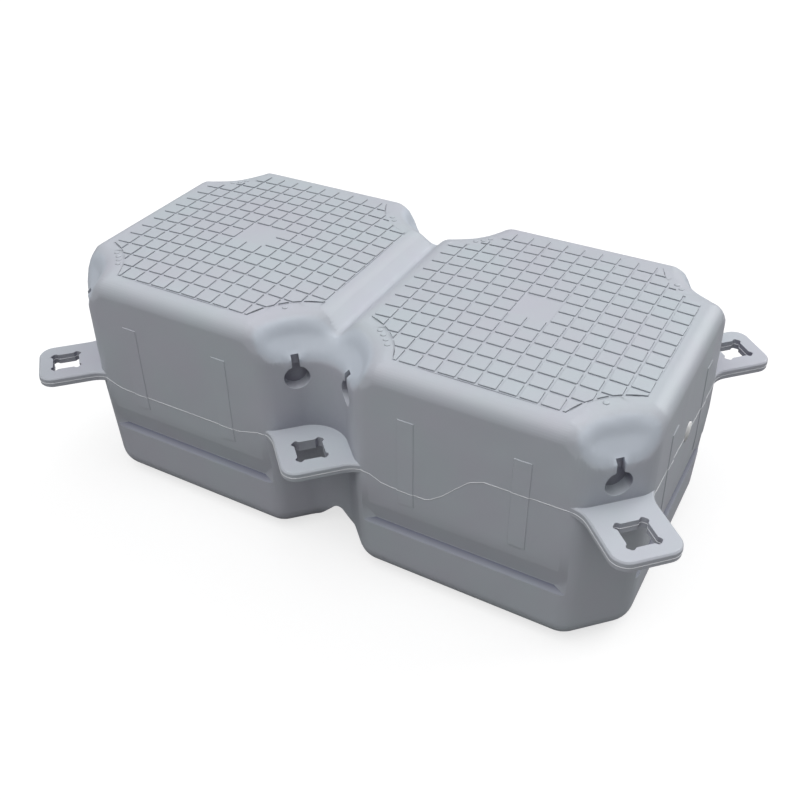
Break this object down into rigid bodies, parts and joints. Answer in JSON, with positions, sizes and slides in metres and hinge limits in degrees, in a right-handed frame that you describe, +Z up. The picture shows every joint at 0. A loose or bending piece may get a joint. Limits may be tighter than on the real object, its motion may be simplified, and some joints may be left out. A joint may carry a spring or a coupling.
{
  "type": "floating dock cube",
  "caption": "Double-length hollow float for a modular floating dock, with octagonal tiled decks, dished corners and square-holed coupling lugs.",
  "frame": {"origin": "middle of the flat underside, level with it", "axes": "+X along the float towards the end with the plug, +Y to the back, +Z up through the decks"},
  "size_m": [1.1144, 0.6214, 0.4046],
  "materials": {
    "shell": "satin",
    "plug": "satin"
  },
  "bodies": {
    "root": {"float_body": "shell", "filler_plug": "plug"}
  },
  "joints": []
}
